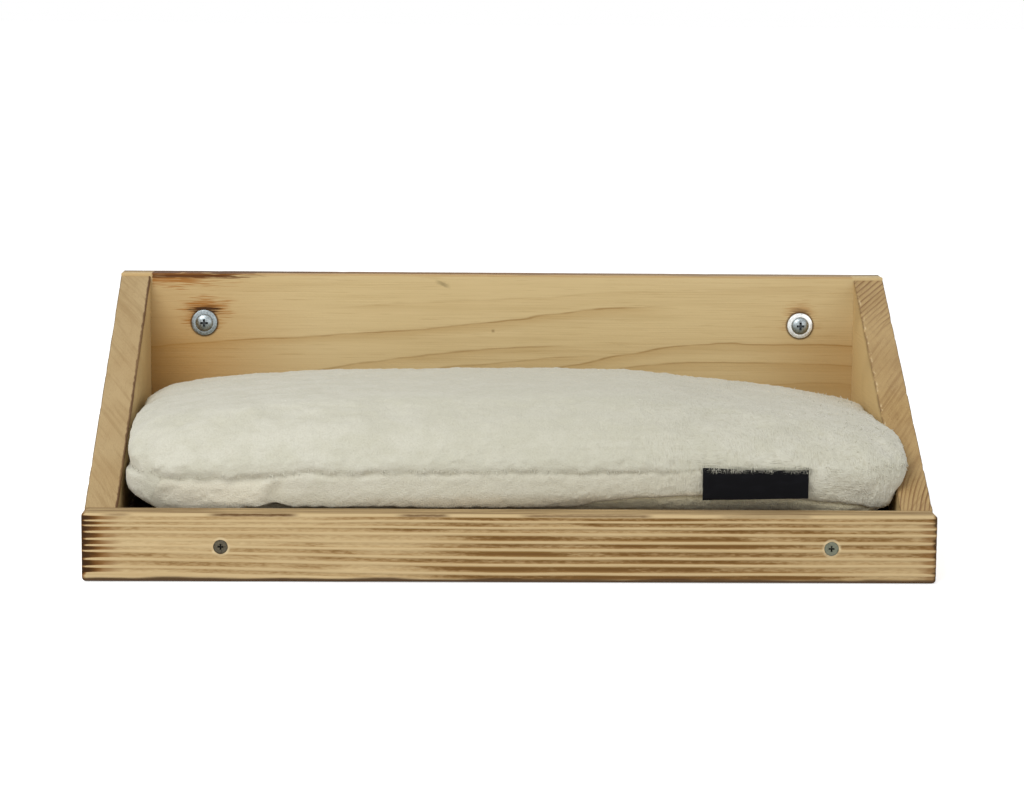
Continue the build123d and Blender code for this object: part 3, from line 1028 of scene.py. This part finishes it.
def pine_rail():
    """The rail: light ridges, flamed grooves, burnt ends and a burnt lower edge."""
    g = Nodes("brushed_pine")
    low, high = RAIL_LOW.tolist(), RAIL_HIGH.tolist()
    groove = g.stored("groove")
    fibres = g.noise((60, 1.2, 0.9), 31, 3)
    g.colour = g.mix(g.step(fibres, 0.4, 0.75, 0, 0.35), (196, 173, 131), (176, 146, 98))
    patches = g.noise((85, 40, 7), 33)
    speckle = g.noise((5, 1.6, 1.1), 35, 3)
    flamed = (
        g.step(g.x, -170, 0, 0.26, 0.86)
        + g.step(g.x, 170, 270, 0, -0.4)
        + g.step(patches, 0.35, 0.65, -0.2, 0.28)
        + g.step(g.noise((110, 60, 24), 34, 1), 0.35, 0.65, -0.12, 0.15)
        + g.step(speckle, 0.3, 0.7, -0.14, 0.14)
    )
    wide = g.step(groove, 0.1, 0.62)
    g.coat((142, 110, 64), wide * g.math("MAXIMUM", flamed, 0))
    g.coat((102, 70, 34), g.step(groove, 0.4, 0.95) * g.step(flamed, 0.5, 1.15) * 0.8)
    fingers = (g.noise((8, 8, 3), 36, 1) - 0.5) * 7
    for from_end, brown_reach, brown_share, char_reach, char_share in (
        (g.x - low[0], 30, 0.95, 14, 0.9),
        (high[0] - g.x, 13, 0.6, 3, 0.8),
    ):
        depth = g.math("MAXIMUM", from_end + fingers, 0)
        g.coat((116, 74, 28), g.step(depth / (wide * brown_reach + 3.5), 1, 0.25) * brown_share)
        g.coat((44, 26, 10), g.step(depth / (wide * char_reach + 0.9), 1.1, 0.1) * char_share)
    for side in SIDES:
        x, _, z = (sum(node_box(f"rail_screw_{side}")) / 2).tolist()
        ring = g.hill(g.distance(g.x - x, g.z - z), 5.9, 1.5) * g.step(patches, 0.35, 0.6)
        g.coat((212, 194, 156), ring * 0.6)
    lower = g.z - low[2] + g.noise((46, 20, 8), 38) * -4
    g.coat((70, 48, 30), g.step(lower, 0, 1.9, 0.92, 0))
    upper = high[2] - g.z
    front = g.step(g.y, low[1] + 4, low[1] + 1.2)
    for start, end, weight in BURNT_ARRIS:
        along = g.step(g.x, start, start + 14) * g.step(g.x, end, end - 10)
        g.coat((84, 54, 26), g.hill(upper + speckle * 1.2, 1.9, 1.7) * along * front * weight)
    grey = g.mix(g.step(g.noise((60, 2, 3), 41, 3), 0.35, 0.65), (120, 94, 60), (184, 158, 116))
    g.coat(grey, g.step(upper, 0.05, 0.6, 0.8, 0))
    return g.finish(fibres * 0.6 + speckle * 0.3, 0.4, roughness=0.75, specular_ior_level=0.1)


def pine_floor():
    """The floor board, burnt dark."""
    g = Nodes("scorched_pine")
    height = ringed(g, 0, (40, -190), 4, (70, 50, 36), (34, 24, 18), seed=6)
    g.coat((112, 82, 54), g.step(g.noise((120, 30, 20), 44), 0.55, 0.75, 0, 0.35))
    return g.finish(height, 0.5, roughness=0.7, specular_ior_level=0.3)


def zinc(name, low, high, roughness, seed):
    """Zinc plate: a mottled, finely scratched metal, with painted shade in a screw's recess."""
    g = Nodes("zinc_" + name)
    mottle = g.noise((1.6, 1.6, 1.6), seed, 3)
    g.colour = g.mix(mottle, low, high)
    g.coat((96, 92, 84), g.step(g.noise((2.6, 2.6, 2.6), seed + 4), 0.56, 0.72, 0, 0.4))
    # Painted shade inside the cross recess
    g.coat((26, 26, 26), g.step(g.stored("recess"), 0.1, 0.75, 0, 0.85))
    rough = g.step(mottle, 0.3, 0.7, roughness * 0.8, roughness * 1.25)
    return g.finish(g.noise((0.25, 0.25, 4), seed + 2), 0.04, metallic=1, roughness=rough)


def plush():
    """Cream plush: short tufted pile, with a soft sheen."""
    g = Nodes("cream_plush")
    tousled = g.stored("tousled")
    tufts = g.noise((1.3, 1.1, 1.1), 51, 3, rough=0.6)
    swirl = g.noise((24, 20, 18), 57, 1)
    slanted = g.noise((1.1, 4, 5), 59, place=g.joined(g.x + g.z, g.y, g.z - g.x))
    combed = (
        g.noise((1, 3, 6), 52) * g.step(swirl, 0.42, 0.5)
        + g.noise((6, 3, 1), 58) * g.step(swirl, 0.42, 0.36)
        + slanted * g.step(swirl, 0.36, 0.42) * g.step(swirl, 0.5, 0.42)
    )
    shade = (166, 160, 136)
    above_seam = g.stored("above_seam") + (tufts - 0.5) * 5
    above_fold = g.stored("above_fold") + (tufts - 0.5) * 3
    g.colour = g.mix(g.step(g.noise((26, 16, 16), 53), 0.35, 0.65), (198, 196, 179), (205, 203, 188))
    g.coat((188, 186, 168), g.hill(g.x, 45, 230) * 0.5)
    # Painted light: the lower cover lighter, against the shade it gets facing down
    g.coat((218, 213, 194), g.step(above_seam, 0.5, -2.5, 0, 0.3))
    # Painted light: the lower cover lighter at the left
    painted_light_lower_left = g.step(g.x, -145, -195) * g.step(g.x, -256, -230) * 0.6
    g.coat((230, 225, 206), g.step(above_seam, -1, -5) * painted_light_lower_left)
    # Painted shade: warmer and darker towards the bottom of the lower cover, less at the left
    g.coat((172, 152, 118), g.step(above_seam, -13, -23) * g.step(g.x, -150, -60, 0.2, 1) * 0.5)
    # Painted shade along the seam's groove, in patches
    seam_shade_patches = g.step(g.noise((24, 24, 60), 56), 0.36, 0.62, 0.25, 1)
    g.coat((138, 130, 104), g.hill(above_seam, 0, 1.8) * seam_shade_patches * 0.3)
    # Painted shade above the fold line, then painted light on the band under it
    g.coat((172, 156, 122), g.step(above_fold, 4, 0, 0, 0.35))
    g.coat((232, 224, 192), g.step(above_fold, 0.2, -0.6, 0, 0.95) * g.step(g.x, 42, 66))
    g.coat(shade, g.step(tufts, 0.58, 0.28, 0, 0.22))
    g.coat(shade, g.step(combed, 0.52, 0.3) * (tousled * 0.3 + 0.06))
    # Painted shade in the cushion's hollows, and a small random tint on the tufts
    g.coat(shade, g.stored("shade_and_tint") * 0.6)
    # Painted shadow in the slot above the rail's top
    g.coat((64, 48, 28), g.stored("gap") * 0.9)
    g.coat((150, 143, 126), g.step(g.noise((1.5, 1.5, 1.5), 55, 0), 0.78, 0.84, 0, 0.12))
    return g.finish(
        tufts + combed * (tousled * 1.3 + 0.3), 0.8, 0.8, roughness=0.95, specular_ior_level=0.1,
        sheen_weight=0.42, sheen_roughness=0.6, sheen_tint=tone(250, 246, 236),
    )


def label_cloth():
    """Black woven satin with fine ribs across and a firmer edge."""
    g = Nodes("black_label")
    weft = g.math("SINE", g.z * (2 * math.pi / 0.55))
    warp = g.math("SINE", g.x * (2 * math.pi / 0.8))
    weave = weft * 0.3 + warp * 0.2 + 0.5
    g.colour = g.mix(weave, (7, 7, 9), (15, 15, 18))
    g.coat((22, 22, 26), g.step(g.noise((14, 14, 6), 61), 0.5, 0.7, 0, 0.3))
    g.coat((7, 7, 8), g.step(g.z - float(LABEL_LOW[2]), 0.8, 1.6, 0.5, 0))
    return g.finish(weave, 0.12, roughness=0.75, specular_ior_level=0.08)


# Light, floor and background
LIGHT_AIM = (0, -0.15, -0.06)
LIGHT_SIZE = 1.5
SKY_STRENGTH = 0.55
GROUND_REACH = 40.0
GROUND_GAP = 0.0004
GROUND_GLOW = 0.6


def add_light(name, place, power):
    """A soft square lamp that looks at the object."""
    lamp = bpy.data.lights.new(name, "AREA")
    lamp.size = LIGHT_SIZE
    lamp.energy = power
    light = bpy.data.objects.new(name, lamp)
    light.location = place
    light.rotation_euler = (Vector(LIGHT_AIM) - Vector(place)).to_track_quat("-Z", "Y").to_euler()
    bpy.context.scene.collection.objects.link(light)


def sees_background(tree):
    """1 for rays from the camera and for those that metal reflects."""
    path = tree.nodes.new("ShaderNodeLightPath")
    total = path.outputs["Is Camera Ray"]
    for name in ("Is Glossy Ray", "Is Transmission Ray"):
        larger = tree.nodes.new("ShaderNodeMath")
        larger.operation = "MAXIMUM"
        tree.links.new(total, larger.inputs[0])
        tree.links.new(path.outputs[name], larger.inputs[1])
        total = larger.outputs[0]
    return total


def add_world():
    """An even white sky: plain light on the object, pure white behind it."""
    world = bpy.data.worlds.new("sky")
    world.use_nodes = True
    tree = world.node_tree
    background = tree.nodes["Background"]
    background.inputs["Color"].default_value = (1, 1, 1, 1)
    level = tree.nodes.new("ShaderNodeMapRange")
    tree.links.new(sees_background(tree), level.inputs["Value"])
    level.inputs["To Min"].default_value = SKY_STRENGTH
    tree.links.new(level.outputs[0], background.inputs["Strength"])
    bpy.context.scene.world = world


def add_ground():
    """A plain white floor that keeps the object's shadow."""
    material = bpy.data.materials.new("ground")
    material.use_nodes = True
    tree = material.node_tree
    shader = tree.nodes["Principled BSDF"]
    shader.inputs["Base Color"].default_value = tone(240, 240, 240)
    shader.inputs["Roughness"].default_value = 0.9
    shader.inputs["Specular IOR Level"].default_value = 0.1
    shader.inputs["Emission Color"].default_value = (1, 1, 1, 1)
    glow = tree.nodes.new("ShaderNodeMath")
    glow.operation = "MULTIPLY"
    glow.inputs[1].default_value = GROUND_GLOW
    tree.links.new(sees_background(tree), glow.inputs[0])
    tree.links.new(glow.outputs[0], shader.inputs["Emission Strength"])
    mesh = bpy.data.meshes.new("ground")
    level = cad_bounds[0].z - GROUND_GAP
    corners = [(x * GROUND_REACH, y * GROUND_REACH, level) for x, y in ((-1, -1), (1, -1), (1, 1), (-1, 1))]
    mesh.from_pydata(corners, [], [(0, 1, 2, 3)])
    mesh.materials.append(material)
    ground = bpy.data.objects.new("ground", mesh)
    bpy.context.scene.collection.objects.link(ground)


add_camera()
add_world()
add_light("key", (-0.95, -1.75, 1.6), 36)
add_light("fill", (1.5, -2.1, 0.3), 8)
add_ground()

add_board("back_board", "pine_board", 0, pine_back(), seed=11)
left_pine = pine_panel(
    "left", (-400, -170.5), 2.4, 0.2, (172, 147, 105), (136, 108, 66), burnt=0.95, lean=0.62, seed=2
)
right_pine = pine_panel(
    "right", (394, -152.5), 2.7, 1, (173, 143, 94), (112, 74, 34), burnt=0.45, lean=-0.62, seed=3
)
add_board("left_side_panel", "pine_panel", 1, left_pine, wear=0.5, step=3.0, warp=sloping, seed=12)
add_board("right_side_panel", "pine_panel", 1, right_pine, wear=0.9, step=3.0, warp=sloping, seed=13)
add_board("floor_board", "scorched_pine", 0, pine_floor(), seed=14)
add_rail(pine_rail())

# A lighter copy of the zinc, for the right washer: painted reflection
painted_glint_zinc = zinc("bright", (206, 208, 206), (244, 244, 242), 0.32, 3)
dull_zinc = zinc("dull", (104, 114, 118), (186, 194, 196), 0.34, 5)
grey_zinc = zinc("grey", (72, 76, 64), (126, 128, 112), 0.45, 9)
dark_zinc = zinc("dark", (22, 19, 15), (112, 106, 90), 0.5, 7)
for screw, way in SCREW_DIRECTIONS.items():
    add_screw(screw, way, {"rail_screw_left": dark_zinc, "rail_screw_right": grey_zinc}.get(screw, dull_zinc))
for wall_side in SIDES:
    add_screw(f"wall_screw_{wall_side}", (0, 1, 0), dull_zinc, pan=True)
add_washer("wall_washer_left", dull_zinc)
add_washer("wall_washer_right", painted_glint_zinc)

cream = plush()
add_tufts(add_cushion(cream), cream)
add_label(label_cloth())

bpy.context.scene.view_settings.view_transform = "Standard"
